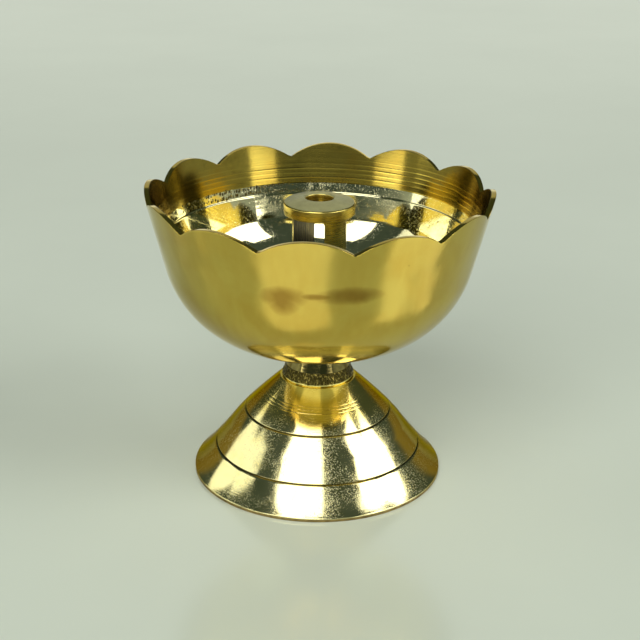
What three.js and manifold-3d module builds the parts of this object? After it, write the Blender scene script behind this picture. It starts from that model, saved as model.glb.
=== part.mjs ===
// Pedestal diya: a small turned brass oil lamp with a lotus bowl.
// Millimetres, +Z up. The origin is the centre of the foot's base, and the front is -Y.
// A hollow bell foot carries a neck collar, the scalloped bowl and a slotted wick holder.
// One centre stud holds the stack: a nut and washer sit in the foot's hollow, and the wick
// holder screws down on the stud's upper end and clamps the bowl on the collar.

import * as THREE from 'three';
import { mergeVertices } from 'three/addons/utils/BufferGeometryUtils.js';
import Module from 'manifold-3d';

const wasm = await Module();
wasm.setup();

// Foot
const footRadius = 28.2;
const footHeight = 22.6;
const footTopRadius = 8.5;
const footLip = 0.8; // straight edge that stands on the table
const footWaistRadius = 20; // where the shoulder's round turns into the skirt's flare
const footWaistHeight = 10.5;
const shoulderRound = 0.7; // how far the shoulder's curve is pulled out of a straight cone
const shoulderCorner = 0.28; // share of the way up the shoulder where it bends most
const skirtHollow = 0.93; // how far the skirt's curve is pulled in
const skirtCorner = 0.2; // share of the way up the skirt where it bends most
const footWall = 1.6;
const footCrown = 2.4; // thickness of the top under the neck
const grooveHeights = [6.3, 14.65];
const grooveWidth = 0.6;
const grooveDepth = 0.35;

// Neck collar
const collarHeight = 5.6;
const collarRadius = 8.05;
const collarTopRadius = 7.5;
const collarBand = 2.4; // height of the straight lower band
const collarEdge = 0.3;

// Bowl
const rimRadius = 38; // outside, at the petals' tips
const bowlHeight = 38.3;
const bowlFlare = 14.3; // degrees that the wall leans out
const bellyRadius = 24;
const undersideSlope = 23.5; // degrees from level
const seatRadius = 8; // flat under the bowl, on the collar
const bowlWall = 1.45;
const rimWall = 1.1; // the turned band above the inner ledge is thinner
const ledgeDrop = 11.4; // from the petals' tips down to the inner ledge
const petalCount = 12;
const petalDrop = 3.45; // from a petal's tip down to the cusp beside it
const petalTurn = -93.9; // degrees: the middle of the front petal

// Wick holder
const holderHeight = 34.4;
const flangeRadius = 7.6;
const flangeHeight = 1.5;
const flangeClearance = 0.6; // flat floor left round the flange
const flangeFillet = 1;
const stemRadius = 5.95;
const hubHeight = 6.2; // solid foot of the stem, below the slot
const slotWidth = 7.8;
const slotTurn = 60; // degrees: the way the slot runs
const slotCorner = 1.5;
const headRadius = 7.8;
const headSide = 2.5;
const headRise = 1.0; // the top climbs this far from its edge to the hole
const headBevel = 0.25;
const wickHoleRadius = 3;
const wickHoleChamfer = 0.4;
const drillCone = 1; // height of the cone that the drill leaves on the slot's floor

// Centre stud, nut and washer
const studRadius = 2.9;
const studChamfer = 0.5;
const studBelowNut = 1.5;
const studToSlot = 0.6; // how far the stud's top stays below the slot
const nutAcrossFlats = 10;
const nutHeight = 5;
const washerRadius = 6.2;
const washerThickness = 1.2;
const threadClearance = 0.3; // round the stud, in every hole that it passes

// Facets round the axis, and steps along the curved profiles
const bowlSides = 96;
const footSides = 72;
const holderSides = 48;
const collarSides = 56;
const smallSides = 32;
const petalSides = 48;
const bellSteps = 5;
const bellySteps = 4;
const throatSteps = 4;
const filletSteps = 2;
const slotCornerSteps = 5;

// Levels and radii that follow from the sizes above
const radians = THREE.MathUtils.degToRad;
const holeRadius = studRadius + threadClearance;
const crownUnderside = footHeight - footCrown;
const washerUnderside = crownUnderside - washerThickness;
const nutUnderside = washerUnderside - nutHeight;
const bowlBase = footHeight + collarHeight;
const bowlTop = bowlBase + bowlHeight;
const baseSlope = radians(undersideSlope);
const floorRadius = flangeRadius + flangeClearance;
const floorRise = (floorRadius - seatRadius) * Math.tan(baseSlope);
const holderBase = bowlBase + floorRise + bowlWall / Math.cos(baseSlope);
const slotFloor = holderBase + hubHeight;
const headEdge = holderBase + holderHeight - headRise;
const headUnderside = headEdge - headSide;

const joinDistance = 1e-5; // vertices closer than this are one
const overcut = 1; // how far a cutter runs past what it cuts

const at = (r, z) => new THREE.Vector2(r, z);

// Shapes to solids and back

function weld(geometry) {
  const bare = geometry.clone();
  bare.deleteAttribute('normal');
  bare.deleteAttribute('uv');
  return mergeVertices(bare, joinDistance);
}

function solid(geometry) {
  const welded = weld(geometry);
  return new wasm.Manifold(new wasm.Mesh({
    numProp: 3,
    vertProperties: new Float32Array(welded.attributes.position.array),
    triVerts: new Uint32Array(welded.index.array),
  }));
}

function geometryOf(manifold) {
  const mesh = manifold.getMesh();
  const geometry = new THREE.BufferGeometry();
  geometry.setAttribute('position', new THREE.BufferAttribute(mesh.vertProperties, 3));
  geometry.setIndex(new THREE.BufferAttribute(mesh.triVerts, 1));
  return geometry;
}

// Turns a profile of (radius, height) points round the Z axis. The profile runs anticlockwise,
// out along the bottom and up the outside, and closes on itself.
function turned(profile, sides) {
  const lathe = new THREE.LatheGeometry([...profile, profile[0]], sides);
  const upright = new THREE.Matrix4().set(
    1, 0, 0, 0,
    0, 0, -1, 0,
    0, 1, 0, 0,
    0, 0, 0, 1,
  );
  return lathe.applyMatrix4(upright);
}

// Profile helpers

// A curve between two points whose corner lies a share of the way along, pulled to the left of
// the way from start to end by a distance.
function bowed(start, end, share, pull) {
  const along = end.clone().sub(start);
  const left = at(-along.y, along.x).setLength(pull);
  const corner = start.clone().addScaledVector(along, share).add(left);
  return new THREE.QuadraticBezierCurve(start, corner, end).getPoints(bellSteps);
}

// The same line, moved sideways by a distance, to the left of its direction.
function offset(points, distance) {
  return points.map((point, i) => {
    const before = points[Math.max(i - 1, 0)];
    const after = points[Math.min(i + 1, points.length - 1)];
    const along = after.clone().sub(before).normalize();
    return at(point.x - along.y * distance, point.y + along.x * distance);
  });
}

// These three read a profile that climbs from its first point to its last.

function radiusAt(points, height) {
  const i = points.findIndex((point) => point.y >= height);
  const low = points[i - 1];
  const high = points[i];
  return THREE.MathUtils.mapLinear(height, low.y, high.y, low.x, high.x);
}

function upTo(points, height) {
  return [...points.filter((point) => point.y < height), at(radiusAt(points, height), height)];
}

function upFrom(points, height) {
  return [at(radiusAt(points, height), height), ...points.filter((point) => point.y > height)];
}

// Cuts a V groove round a profile, at the given height.
function grooved(points, height) {
  const floor = at(radiusAt(points, height) - grooveDepth, height);
  const half = grooveWidth / 2;
  return [...upTo(points, height - half), floor, ...upFrom(points, height + half)];
}

// Foot: a thin bell with a flat crown and a small straight lip

function footGeometry() {
  const waist = at(footWaistRadius, footWaistHeight);
  const skirt = bowed(at(footRadius, footLip), waist, skirtCorner, skirtHollow);
  const shoulder = bowed(waist, at(footTopRadius, footHeight), shoulderCorner, -shoulderRound);
  const outside = [...skirt, ...shoulder.slice(1)];
  const inside = upTo(upFrom(offset(outside, footWall), footLip), crownUnderside);
  return turned([
    at(inside[0].x, 0),
    at(footRadius, 0),
    ...grooveHeights.reduce(grooved, outside),
    at(holeRadius, footHeight),
    at(holeRadius, crownUnderside),
    ...inside.reverse(),
  ], footSides);
}

// Neck collar: a straight chattered band below a drawn-in throat

function collarGeometry() {
  const bandTop = footHeight + collarBand;
  const throat = new THREE.QuadraticBezierCurve(
    at(collarRadius, bandTop),
    at(collarRadius, (bandTop + bowlBase) / 2),
    at(collarTopRadius, bowlBase),
  );
  return turned([
    at(holeRadius, footHeight),
    at(collarRadius - collarEdge, footHeight),
    at(collarRadius, footHeight + collarEdge),
    ...throat.getPoints(throatSteps),
    at(holeRadius, bowlBase),
  ], collarSides);
}

// Bowl: a leaning wall, a round belly and a conical underside, tangent to each other

// One side of the bowl's wall, from the foot of the belly to above the rim.
function bowlSide(inset) {
  const lean = radians(bowlFlare);
  const wallNormal = at(Math.cos(lean), -Math.sin(lean));
  const baseNormal = at(Math.sin(baseSlope), -Math.cos(baseSlope));
  const wallReach = wallNormal.dot(at(rimRadius, bowlTop)) - bellyRadius;
  const baseReach = baseNormal.dot(at(seatRadius, bowlBase)) - bellyRadius;
  const spread = wallNormal.cross(baseNormal);
  const centre = at(
    (wallReach * baseNormal.y - baseReach * wallNormal.y) / spread,
    (baseReach * wallNormal.x - wallReach * baseNormal.x) / spread,
  );
  const radius = bellyRadius - inset;
  const startAngle = baseSlope - Math.PI / 2;
  const belly = new THREE.Path().absarc(centre.x, centre.y, radius, startAngle, -lean, false);
  const top = bowlTop + overcut;
  const topRadius = (wallReach + radius - wallNormal.y * top) / wallNormal.x;
  return [...belly.getPoints(bellySteps), at(topRadius, top)];
}

function bowlGeometry() {
  const ledge = bowlTop - ledgeDrop;
  const inside = [...upTo(bowlSide(bowlWall), ledge), ...upFrom(bowlSide(rimWall), ledge)];
  const blank = turned([
    at(holeRadius, bowlBase),
    at(seatRadius, bowlBase),
    ...bowlSide(0),
    ...inside.reverse(),
    at(floorRadius, holderBase),
    at(holeRadius, holderBase),
  ], bowlSides);
  return geometryOf(solid(blank).intersect(petalLimit()));
}

// Everything below the scalloped edge: one round cutter for each petal, along its own radius.
function petalLimit() {
  const halfChord = rimRadius * Math.sin(Math.PI / petalCount);
  const petalRadius = (halfChord ** 2 + petalDrop ** 2) / (2 * petalDrop);
  const centre = bowlTop - petalRadius;
  const reach = rimRadius + petalRadius;
  const below = new THREE.CylinderGeometry(reach, reach, centre, bowlSides).rotateX(Math.PI / 2);
  let limit = solid(below.translate(0, 0, centre / 2));
  for (let i = 0; i < petalCount; i += 1) {
    const cutter = new THREE.CylinderGeometry(petalRadius, petalRadius, reach, petalSides);
    cutter.rotateZ(-Math.PI / 2);
    cutter.translate(reach / 2, 0, centre);
    cutter.rotateZ(radians(petalTurn) + i * 2 * Math.PI / petalCount);
    limit = limit.add(solid(cutter));
  }
  return limit;
}

// Wick holder: a flanged, bored stem with a drilled head, slotted right through

function holderGeometry() {
  const top = holderBase + holderHeight;
  const flangeTop = holderBase + flangeHeight;
  const fillet = new THREE.Path().absarc(
    stemRadius + flangeFillet, flangeTop + flangeFillet, flangeFillet, -Math.PI / 2, -Math.PI, true,
  );
  const blank = solid(turned([
    at(holeRadius, holderBase),
    at(flangeRadius, holderBase),
    at(flangeRadius, flangeTop),
    ...fillet.getPoints(filletSteps),
    at(stemRadius, headUnderside),
    at(headRadius, headUnderside),
    at(headRadius, headEdge - headBevel),
    at(headRadius - headBevel, headEdge),
    at(wickHoleRadius + wickHoleChamfer, top),
    at(wickHoleRadius, top - wickHoleChamfer),
    at(wickHoleRadius, slotFloor + drillCone),
    at(holeRadius, slotFloor),
  ], holderSides));
  return geometryOf(blank.subtract(solid(slotCutter())));
}

function slotCutter() {
  const half = slotWidth / 2;
  const length = 2 * (headRadius + overcut);
  const outline = new THREE.Shape();
  outline.moveTo(-half, slotFloor);
  outline.lineTo(half, slotFloor);
  outline.lineTo(half, headUnderside - slotCorner);
  outline.absarc(half - slotCorner, headUnderside - slotCorner, slotCorner, 0, Math.PI / 2, false);
  outline.absarc(slotCorner - half, headUnderside - slotCorner, slotCorner, Math.PI / 2, Math.PI, false);
  outline.closePath();
  const settings = { depth: length, bevelEnabled: false, curveSegments: slotCornerSteps };
  const cutter = new THREE.ExtrudeGeometry(outline, settings);
  cutter.translate(0, 0, -length / 2);
  cutter.rotateX(Math.PI / 2);
  return cutter.rotateZ(radians(slotTurn) + Math.PI / 2);
}

// Fasteners

function studGeometry() {
  const bottom = nutUnderside - studBelowNut;
  const top = slotFloor - studToSlot;
  const tip = studRadius - studChamfer;
  const lathe = new THREE.LatheGeometry([
    at(0, bottom),
    at(tip, bottom),
    at(studRadius, bottom + studChamfer),
    at(studRadius, top - studChamfer),
    at(tip, top),
    at(0, top),
  ], smallSides);
  return lathe.rotateX(Math.PI / 2);
}

function washerGeometry() {
  return turned([
    at(holeRadius, washerUnderside),
    at(washerRadius, washerUnderside),
    at(washerRadius, crownUnderside),
    at(holeRadius, crownUnderside),
  ], smallSides);
}

function nutGeometry() {
  const corner = nutAcrossFlats / Math.sqrt(3);
  const flat = nutAcrossFlats / 2;
  const chamfer = (corner - flat) / 2;
  const prism = new THREE.CylinderGeometry(corner, corner, nutHeight, 6).rotateX(Math.PI / 2);
  prism.translate(0, 0, nutUnderside + nutHeight / 2);
  const rounded = turned([
    at(holeRadius, nutUnderside),
    at(flat, nutUnderside),
    at(corner + overcut, nutUnderside + chamfer),
    at(corner + overcut, washerUnderside - chamfer),
    at(flat, washerUnderside),
    at(holeRadius, washerUnderside),
  ], smallSides);
  return geometryOf(solid(prism).intersect(solid(rounded)));
}

// Finishes

const mirrorBrass = { color: 0xd0b35a, roughness: 0.12, metalness: 1 };
const satinBrass = { color: 0xb99a3f, roughness: 0.38, metalness: 1 };
const turnedBrass = { color: 0xa08545, roughness: 0.32, metalness: 1 };
const darkBrass = { color: 0x6f5a2c, roughness: 0.45, metalness: 1 };

// Assembly

const diya = new THREE.Group();

function addPiece(name, geometry, finish) {
  const piece = new THREE.Mesh(geometry, new THREE.MeshStandardMaterial(finish));
  piece.name = name;
  diya.add(piece);
}

addPiece('foot', footGeometry(), mirrorBrass);
addPiece('neck_collar', collarGeometry(), darkBrass);
addPiece('bowl', bowlGeometry(), satinBrass);
addPiece('wick_holder', holderGeometry(), turnedBrass);
addPiece('centre_stud', studGeometry(), darkBrass);
addPiece('foot_washer', washerGeometry(), turnedBrass);
addPiece('foot_nut', nutGeometry(), turnedBrass);

export default diya;
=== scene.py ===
"""Dresses a pedestal diya, a small turned brass oil lamp with a lotus bowl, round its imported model.

Metres, +Z up, the front at -Y. Each piece is drawn again as a fine mesh from its own profile, in the
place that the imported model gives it, and rides on the body of the node that it stands for.
"""

import math

import bpy
from mathutils import Matrix, Vector


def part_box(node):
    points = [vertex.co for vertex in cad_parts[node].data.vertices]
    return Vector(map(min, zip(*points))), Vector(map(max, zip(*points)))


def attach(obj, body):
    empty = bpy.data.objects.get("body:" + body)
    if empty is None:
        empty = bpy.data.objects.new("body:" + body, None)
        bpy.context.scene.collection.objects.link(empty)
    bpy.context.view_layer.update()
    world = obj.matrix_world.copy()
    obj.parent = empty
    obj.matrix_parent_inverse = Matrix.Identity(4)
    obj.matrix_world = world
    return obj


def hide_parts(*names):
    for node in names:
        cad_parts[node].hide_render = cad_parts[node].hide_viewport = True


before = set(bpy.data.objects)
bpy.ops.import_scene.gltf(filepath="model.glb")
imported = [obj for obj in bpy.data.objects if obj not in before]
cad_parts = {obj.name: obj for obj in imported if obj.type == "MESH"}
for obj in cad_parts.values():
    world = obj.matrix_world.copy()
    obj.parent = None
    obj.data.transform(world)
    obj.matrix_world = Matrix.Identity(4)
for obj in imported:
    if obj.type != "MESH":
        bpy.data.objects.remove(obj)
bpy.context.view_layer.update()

bl_info = {
    "name": "Pedestal diya",
    "version": (1, 0, 0),
    "blender": (4, 5, 0),
    "location": "3D View > Sidebar > Diya",
    "description": "Makes the pieces and finishes of a turned brass oil lamp with a lotus bowl",
    "category": "Add Mesh",
}

MILLIMETRES = 1000.0  # in a metre
FULL_TURN = 2 * math.pi
PHOTO_SIDE = 640  # pixels of the square photograph
SENSOR_WIDTH = 36.0

# Sides round the axis
BOWL_SIDES = 300
FOOT_SIDES = 320
COLLAR_SIDES = 224
HOLDER_SIDES = 160
SMALL_SIDES = 120
STUD_SIDES = 60

# Steps along the stretches of the profiles
EASE_STEPS = 4
GROOVE_STEPS = 8
SKIRT_STEPS = 36
SHOULDER_STEPS = 44
THROAT_STEPS = 24
BELLY_STEPS = 44
WALL_STEPS = 34
BAND_STEPS = 150  # close enough to carry the turned rings
PLAIN_STEPS = 12
WELL_STEPS = 30
TURN_STEPS = 24
LEDGE_STEPS = 18
FILLET_STEPS = 8
SLOT_CORNER_STEPS = 10
THREAD_STEPS = 12  # in each turn of the thread
NUT_CHAMFER_STEPS = 8
NUT_SIDE_STEPS = 12

SHARP_EDGE = math.radians(32)  # smooth shading breaks at turns sharper than this

# How far sharp corners are rounded off, in metres
SOFT_EASE = 0.00015
FINE_EASE = 0.00012
CRISP_EASE = 0.0001

# Half the depth, width and height of a tool mark, in metres
COLLAR_MARK = (0.0001, 0.00014, 0.00034)
BOWL_DOT = (0.00022, 0.00026, 0.00046)

# Parts that have a finish of their own, numbered piece by piece
OUTSIDE = 0
FOOT_HOLLOW = 1
COLLAR_CHATTERED = 1
COLLAR_EDGE = 2
BOWL_BAND = 1
BOWL_WELL = 2
HOLDER_TOP = 1


def low(node):
    """The height of a node's lowest point."""
    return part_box(node)[0].z


def high(node):
    """The height of a node's highest point."""
    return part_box(node)[1].z


def reach(node):
    """How far a node reaches from the axis along X."""
    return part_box(node)[1].x


def length(name, description, default):
    """A size in metres."""
    return bpy.props.FloatProperty(
        name=name, description=description, default=default, precision=5, unit="LENGTH", subtype="DISTANCE"
    )


def share(name, description, default):
    """A plain number, such as a part of one."""
    return bpy.props.FloatProperty(name=name, description=description, default=default, precision=3)


def angle(name, description, degrees):
    """An angle, given here in degrees."""
    return bpy.props.FloatProperty(
        name=name, description=description, default=math.radians(degrees), subtype="ANGLE", unit="ROTATION"
    )


def count(name, description, default):
    """A number of copies."""
    return bpy.props.IntProperty(name=name, description=description, default=default, min=1)


def colour(name, description, default):
    """A linear colour."""
    return bpy.props.FloatVectorProperty(
        name=name, description=description, default=default, size=3, min=0, max=1, subtype="COLOR"
    )


def group(settings, name, description):
    """A group of settings."""
    return bpy.props.PointerProperty(type=settings, name=name, description=description)


# Settings that the sidebar lists


class FootSettings(bpy.types.PropertyGroup):
    """Sizes and colours of the bell foot"""

    radius: length("Radius", "Radius of the lip that stands on the table", reach("foot"))
    lip: length("Lip", "Height of the lip's upright edge", 0.0008)
    waist_radius: length("Waist radius", "Where the shoulder's round turns into the flare", 0.02)
    waist_height: length("Waist height", "Height of the same place", 0.0105)
    top_radius: length("Top radius", "Radius of the flat top under the neck", 0.0085)
    shoulder_round: length("Shoulder round", "How far the shoulder bulges from a straight cone", 0.0007)
    shoulder_corner: share("Shoulder corner", "Share of the way up where it bulges most", 0.28)
    skirt_hollow: length("Skirt hollow", "How far the skirt is drawn in from a straight cone", 0.00055)
    skirt_corner: share("Skirt corner", "Share of the way up where it is drawn in most", 0.28)
    wall: length("Wall", "Thickness of the bell", 0.0016)
    crown: length("Crown", "Thickness of the top", 0.0024)
    low_groove: length("Low groove", "Height of the lower scored line", 0.0063)
    high_groove: length("High groove", "Height of the upper scored line", 0.01465)
    groove_width: length("Groove width", "Width of a scored line", 0.00042)
    groove_depth: length("Groove depth", "Depth of a scored line", 0.00026)
    first_ring: length("First ring", "Height of the lowest fine ring on the shoulder", 0.0183)
    ring_pitch: length("Ring pitch", "From one fine ring to the next", 0.00055)
    rings: count("Rings", "Fine rings on the shoulder", 3)
    ring_depth: length("Ring depth", "Depth of a fine ring", 0.000012)
    tint: colour("Polished brass", "Reflection of the mirror finish", (0.85, 0.77, 0.4))
    cast_tint: colour("Cast brass", "Reflection of the rough hollow", (0.42, 0.31, 0.12))


class CollarSettings(bpy.types.PropertyGroup):
    """Sizes and colour of the neck collar"""

    radius: length("Radius", "Radius of the lower edge", reach("neck_collar"))
    top_radius: length("Top radius", "Radius under the bowl", 0.0061)
    edge: length("Edge", "Height of the upright lower edge, polished with the foot", 0.0005)
    chatter: length("Chatter", "Height of the chattered lower part", 0.0027)
    mark_rows: count("Mark rows", "Rows of chatter marks on it", 5)
    marks: count("Marks", "Chatter marks in a row", 60)
    tint: colour("Dark brass", "Reflection of the dark neck", (0.38, 0.31, 0.11))
    chatter_tint: colour("Chattered brass", "Reflection of the rough part", (0.1, 0.08, 0.02))


class BowlSettings(bpy.types.PropertyGroup):
    """Sizes and colours of the lotus bowl"""

    rim_radius: length("Rim radius", "Outside radius at the petals' tips", 0.038)
    flare: angle("Flare", "How far the wall leans out", 14.3)
    belly_radius: length("Belly radius", "Radius of the round between wall and underside", 0.024)
    underside: angle("Underside", "Slope of the underside", 23.5)
    seat_radius: length("Seat radius", "Radius of the flat that sits on the neck", 0.008)
    floor_radius: length("Floor radius", "Radius of the flat floor round the wick holder", 0.0082)
    wall: length("Wall", "Thickness just below the ledge", 0.00145)
    well_lean: angle("Well lean", "How far the well's wall leans out under the ledge", 16.5)
    turn_height: length("Turn height", "Height at which the wall starts to turn into the well", 0.0498)
    turn_radius: length("Turn radius", "Radius of that turn", 0.0127)
    turn_lean: angle("Turn lean", "Lean of the wall where the turn ends", 44)
    well_slope: angle("Well slope", "Slope of the well beside the floor", 22)
    rim_wall: length("Rim wall", "Thickness above the ledge", 0.0011)
    ledge_drop: length("Ledge drop", "From the petals' tips down to the ledge", 0.0114)
    ledge_width: length("Ledge width", "Width of the narrow step above the well", 0.00024)
    plain_wall: length("Plain wall", "Height of the plain polished wall between ledge and band", 0.0024)
    petals: count("Petals", "Round petals in the rim", 12)
    petal_drop: length("Petal drop", "From a petal's tip to the cusp beside it", 0.00345)
    petal_root: length("Petal root", "From the cusps down to where the rim's cut fades out", 0.001)
    petal_turn: angle("Petal turn", "The way that the front petal faces", -93.9)
    ring_pitch: length("Ring pitch", "From one turned ring in the band to the next", 0.00105)
    ring_depth: length("Ring depth", "Height of a turned ring", 0.000007)
    unevenness: length("Unevenness", "Depth of the soft dents in the spun wall", 0.00006)
    dot_rows: count("Dot rows", "Rows of chatter dots above the ledge", 2)
    dots: count("Dots", "Chatter dots in a row", 58)
    dots_start: angle("Dots start", "The way that the first dot of a row faces", 96)
    dots_sweep: angle("Dots sweep", "How far round the bowl a row runs", 66)
    tint: colour("Satin brass", "Reflection of the outside", (0.62, 0.465, 0.095))
    band_tint: colour("Turned brass", "Reflection of the ringed band", (0.32, 0.245, 0.046))
    well_tint: colour("Polished well", "Reflection of the smooth lower half", (0.82, 0.77, 0.46))


class HolderSettings(bpy.types.PropertyGroup):
    """Sizes and colours of the slotted wick holder"""

    flange_radius: length("Flange radius", "Radius of the foot that stands in the bowl", 0.0076)
    flange_height: length("Flange height", "Thickness of that foot", 0.0015)
    fillet: length("Fillet", "Round between the flange and the stem", 0.001)
    stem_radius: length("Stem radius", "Radius of the stem", 0.00595)
    hub_height: length("Hub height", "Height of the stem's solid foot", 0.0062)
    slot_width: length("Slot width", "Width of the slot between the two legs", 0.0078)
    slot_turn: angle("Slot turn", "The way that the slot runs", 60)
    slot_corner: length("Slot corner", "Radius of the slot's upper corners", 0.0015)
    head_side: length("Head side", "Height of the head's upright side", 0.0025)
    head_rise: length("Head rise", "How far the top climbs to the wick hole", 0.001)
    head_bevel: length("Head bevel", "Bevel round the head's top", 0.00025)
    wick_hole: length("Wick hole", "Radius of the hole for the wick", 0.003)
    wick_chamfer: length("Wick chamfer", "Chamfer of that hole", 0.0004)
    drill_cone: length("Drill cone", "Height of the cone that the drill leaves in the hub", 0.0005)
    tint: colour("Turned brass", "Reflection of the sides", (0.74, 0.6, 0.16))
    top_tint: colour("Faced top", "Colour of the matt top", (0.4, 0.38, 0.18))
    # Painted shade: the sawn faces inside the slot are given a near-black colour
    slot_shade_tint: colour("Sawn slot", "Reflection of the sawn faces", (0.06, 0.046, 0.015))


class FasteningSettings(bpy.types.PropertyGroup):
    """Sizes of the stud, washer and nut"""

    hole_radius: length("Hole radius", "Radius of the holes that the stud passes", 0.0032)
    stud_chamfer: length("Stud chamfer", "Chamfer of the stud's ends", 0.0005)
    thread_pitch: length("Thread pitch", "From one turn of the thread to the next", 0.001)
    thread_depth: length("Thread depth", "Depth of the thread", 0.0005)
    nut_corner_ease: length("Nut corner ease", "How far the nut's corners are rounded off", 0.0001)
    nut_lead: length("Nut lead", "Chamfer at each mouth of the nut's bore", 0.0004)
    washer_chamfer: length("Washer chamfer", "Chamfer of the washer's outer edges", 0.00015)


class StageSettings(bpy.types.PropertyGroup):
    """Camera, lamps and floor"""

    camera_distance: length("Camera distance", "Level distance from the lamp's axis", 0.2974)
    camera_height: length("Camera height", "Height above the table", 0.1547)
    yaw: angle("Yaw", "Turn of the view to the right", 0.068)
    pitch: angle("Pitch", "Tilt of the view upwards", -21.832)
    roll: angle("Roll", "Turn of the picture about the line of sight", 0.586)
    focal_pixels: share("Focal length", "Focal length in pixels of the photograph", 1431.6)
    floor_tint: colour("Floor", "Colour of the floor", (0.8, 0.88, 0.76))
    sky_tint: colour("Background", "Colour of the background", (0.45, 0.49, 0.42))
    warm_tint: colour("Warm sides", "Colour of the background to left and right", (0.22, 0.165, 0.035))
    room_tint: colour("Room", "Dim light from above the background", (0.052, 0.07, 0.058))


class DiyaSettings(bpy.types.PropertyGroup):
    """All settings of the diya"""

    foot: group(FootSettings, "Foot", "The bell foot")
    collar: group(CollarSettings, "Collar", "The neck collar")
    bowl: group(BowlSettings, "Bowl", "The lotus bowl")
    holder: group(HolderSettings, "Holder", "The wick holder")
    fastening: group(FasteningSettings, "Fastening", "The stud, washer and nut")
    stage: group(StageSettings, "Stage", "Camera, lamps and floor")


# Profiles, as points of (radius, height)


def at(radius, height):
    return Vector((radius, height))


def steps(start, end, number):
    """Evenly spaced numbers, both ends among them."""
    return [start + (end - start) * i / number for i in range(number + 1)]


def straight(start, end, number):
    return [start.lerp(end, t) for t in steps(0, 1, number)]


def curved(start, corner, end, number):
    """A curve that leaves its ends towards one corner."""
    return [start.lerp(corner, t).lerp(corner.lerp(end, t), t) for t in steps(0, 1, number)]


def bowed(start, end, corner_share, pull, number):
    """A curve whose corner lies a share of the way along, pulled to the left by a distance."""
    along = end - start
    left = at(-along.y, along.x).normalized() * pull
    return curved(start, start + along * corner_share + left, end, number)


def arc(centre, radius, start, end, number):
    return [centre + radius * at(math.cos(a), math.sin(a)) for a in steps(start, end, number)]


def radius_at(points, height):
    """The radius of a climbing profile at a height."""
    i = next(i for i, point in enumerate(points) if point.y >= height)
    below, above = points[max(i - 1, 0)], points[max(i, 1)]
    return below.x + (above.x - below.x) * (height - below.y) / (above.y - below.y)


def up_to(points, height):
    """The part of a climbing profile below a height."""
    return [p for p in points if p.y < height] + [at(radius_at(points, height), height)]


def up_from(points, height):
    """The part of a climbing profile above a height."""
    return [at(radius_at(points, height), height)] + [p for p in points if p.y > height]


def shifted(points, distance):
    """The same line moved sideways, to the left of its direction."""
    moved = []
    for i, point in enumerate(points):
        along = (points[min(i + 1, len(points) - 1)] - points[max(i - 1, 0)]).normalized()
        moved.append(at(point.x - along.y * distance, point.y + along.x * distance))
    return moved


def scored(points, height, width, depth):
    """A climbing profile with a round-edged line scored into it."""
    low_edge, high_edge = height - width / 2, height + width / 2
    groove = []
    for t in steps(0, 1, GROOVE_STEPS)[1:-1]:
        level = low_edge + (high_edge - low_edge) * t
        groove.append(at(radius_at(points, level) - depth * math.sin(math.pi * t) ** 2, level))
    return up_to(points, low_edge) + groove + up_from(points, high_edge)


def tagged(points, part):
    """The points of a profile, each with the part of the piece that starts there."""
    return [(point, part) for point in points]


def eased(loop, size):
    """A closed profile with its sharp corners rounded."""
    rounded = []
    for i, (corner, part) in enumerate(loop):
        into = corner - loop[i - 1][0]
        out = loop[(i + 1) % len(loop)][0] - corner
        if into.angle(out) < SHARP_EDGE:
            rounded.append((corner, part))
            continue
        start = corner - into.normalized() * min(size, into.length / 2)
        end = corner + out.normalized() * min(size, out.length / 2)
        rounded += tagged(curved(start, corner, end, EASE_STEPS), part)
    return rounded


# Meshes


def piece(name, points, faces, parts):
    """A new object whose faces know the part of the piece that they belong to."""
    mesh = bpy.data.meshes.new(name)
    mesh.from_pydata(points, [], faces)
    attribute = mesh.attributes.new("part", "INT", "FACE")
    attribute.data.foreach_set("value", parts)
    mesh.polygons.foreach_set("material_index", parts)
    thing = bpy.data.objects.new(name, mesh)
    bpy.context.scene.collection.objects.link(thing)
    return thing


def turned(name, loop, sides, limit=None):
    """Turns a closed profile round the Z axis. It runs anticlockwise: out below, up the outside."""
    points = []
    for spot, _ in loop:
        for side in range(sides):
            turn = FULL_TURN * side / sides
            radius = spot.x if limit is None else min(spot.x, limit(turn))
            points.append((radius * math.cos(turn), radius * math.sin(turn), spot.y))
    faces, parts = [], []
    for row, (_, part) in enumerate(loop):
        above = (row + 1) % len(loop)
        for side in range(sides):
            beside = (side + 1) % sides
            corners = (row, side), (row, beside), (above, beside), (above, side)
            faces.append([r * sides + s for r, s in corners])
            parts.append(part)
    return piece(name, points, faces, parts)


def capped_rod(name, profile, sides):
    """A solid turned rod: an open climbing profile, closed by a fan at each end."""
    rod = turned(name, tagged(profile, OUTSIDE), sides)
    points = [v.co[:] for v in rod.data.vertices]
    last_row = len(profile) - 1
    faces = [list(f.vertices) for f in rod.data.polygons][: last_row * sides]
    for row, order in (0, 1), (last_row, -1):
        centre = len(points)
        points.append((0, 0, profile[row].y))
        for side in range(sides):
            rim = [row * sides + (side + 1) % sides, row * sides + side]
            faces.append([centre, *rim[::order]])
    bpy.data.objects.remove(rod)
    return piece(name, points, faces, [OUTSIDE] * len(faces))


def prism(name, outline, depth):
    """A straight bar along Y with an outline in X and Z, drawn anticlockwise seen from -Y."""
    number = len(outline)
    points = [(p.x, y, p.y) for y in (-depth / 2, depth / 2) for p in outline]
    faces = [list(range(number)), list(range(2 * number - 1, number - 1, -1))]
    for i in range(number):
        j = (i + 1) % number
        faces.append([i, i + number, j + number, j])
    return piece(name, points, faces, [OUTSIDE] * len(faces))


def settle(thing):
    """Turns what the object's modifiers make into its plain mesh, and removes them."""
    graph = bpy.context.evaluated_depsgraph_get()
    mesh = bpy.data.meshes.new_from_object(thing.evaluated_get(graph))
    thing.modifiers.clear()
    spare = thing.data
    thing.data = mesh
    bpy.data.meshes.remove(spare)
    mesh.name = thing.name


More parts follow.
